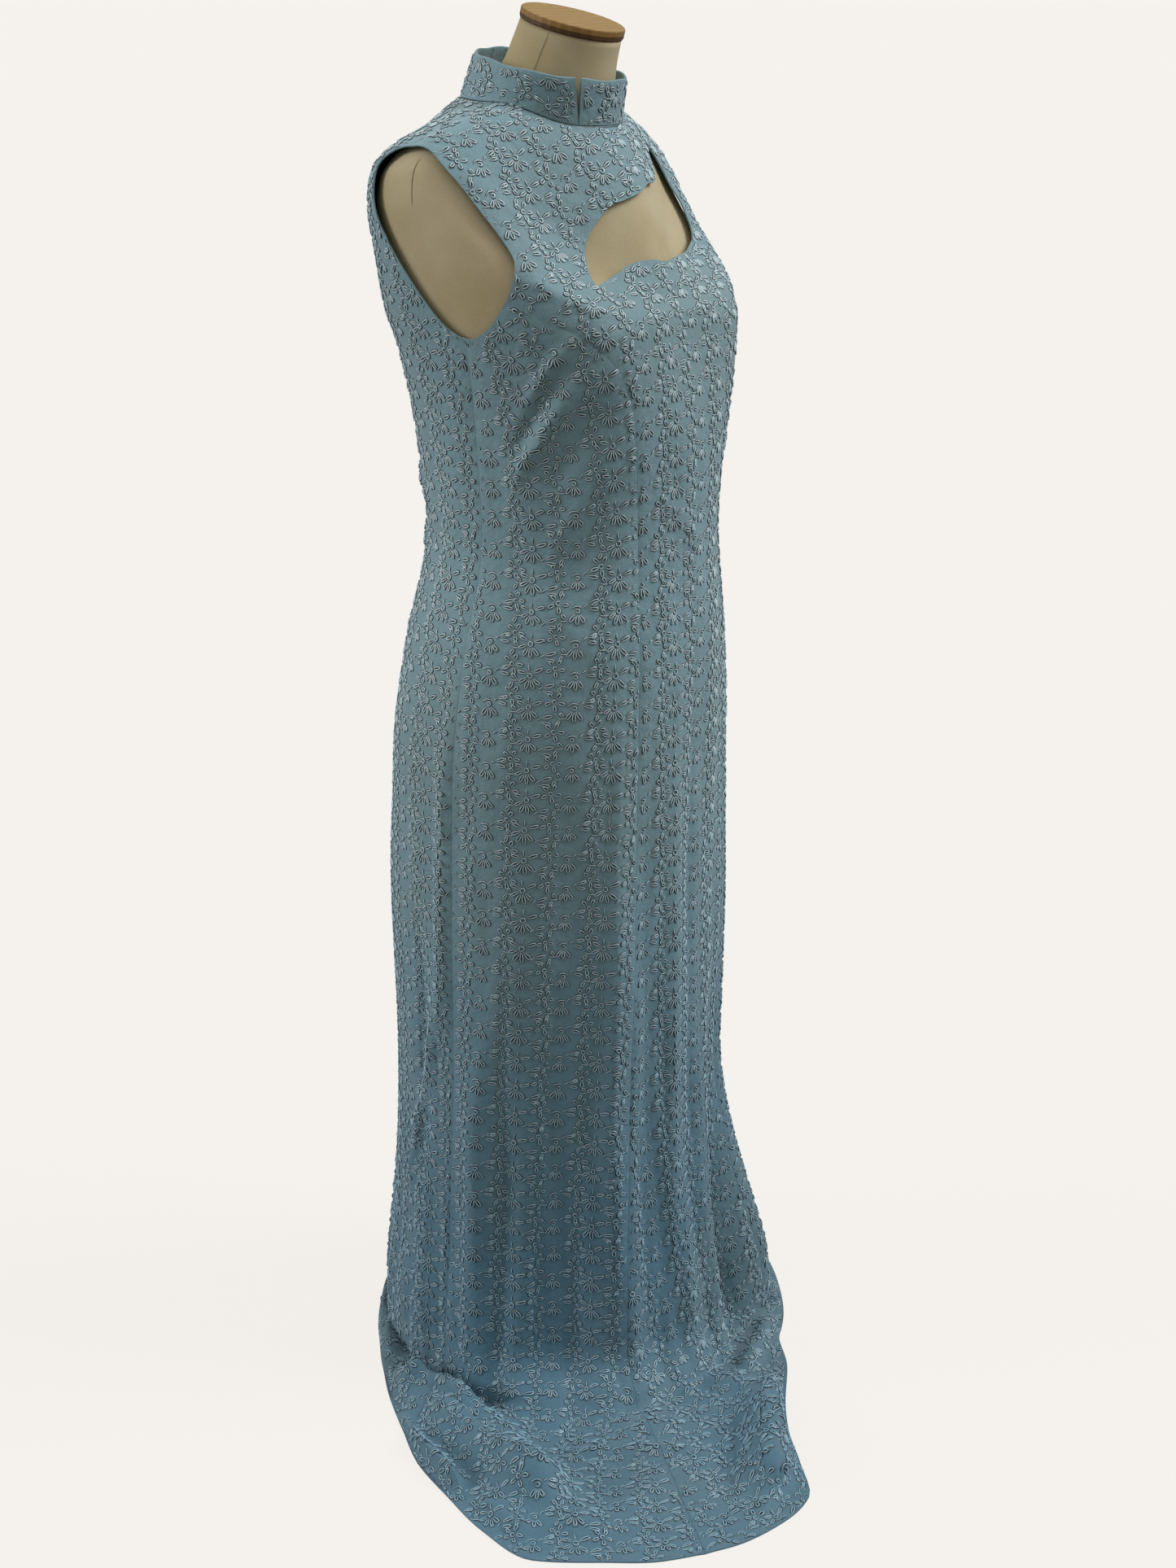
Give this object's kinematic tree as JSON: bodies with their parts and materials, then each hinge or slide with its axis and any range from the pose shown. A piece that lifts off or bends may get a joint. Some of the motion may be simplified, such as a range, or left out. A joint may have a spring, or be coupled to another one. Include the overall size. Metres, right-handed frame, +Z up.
{
  "type": "maxi dress on a dress form",
  "caption": "Sleeveless floor-length dress with a slit stand collar, a wavy chest cutout and princess seams, worn by a limbless form that stands on a pole and a round base.",
  "frame": {"origin": "on the floor, at the centre of the underside of the stand's base", "axes": "+Z up; the dress faces -Y; +X is the wearer's left"},
  "size_m": [0.6239, 0.5884, 1.262],
  "materials": {
    "cloth": "corded embroidery on plain cloth",
    "canvas": "plain weave",
    "wood": "satin varnish",
    "metal": "satin black"
  },
  "bodies": {
    "root": {"front_centre": "cloth", "front_side_right": "cloth", "front_side_left": "cloth", "back_side_right": "cloth", "back_side_left": "cloth", "back_right": "cloth", "back_left": "cloth", "collar_right": "cloth", "collar_left": "cloth", "form_torso": "canvas", "neck_cap": "wood", "stand_pole": "metal", "stand_base": "metal"}
  },
  "joints": []
}
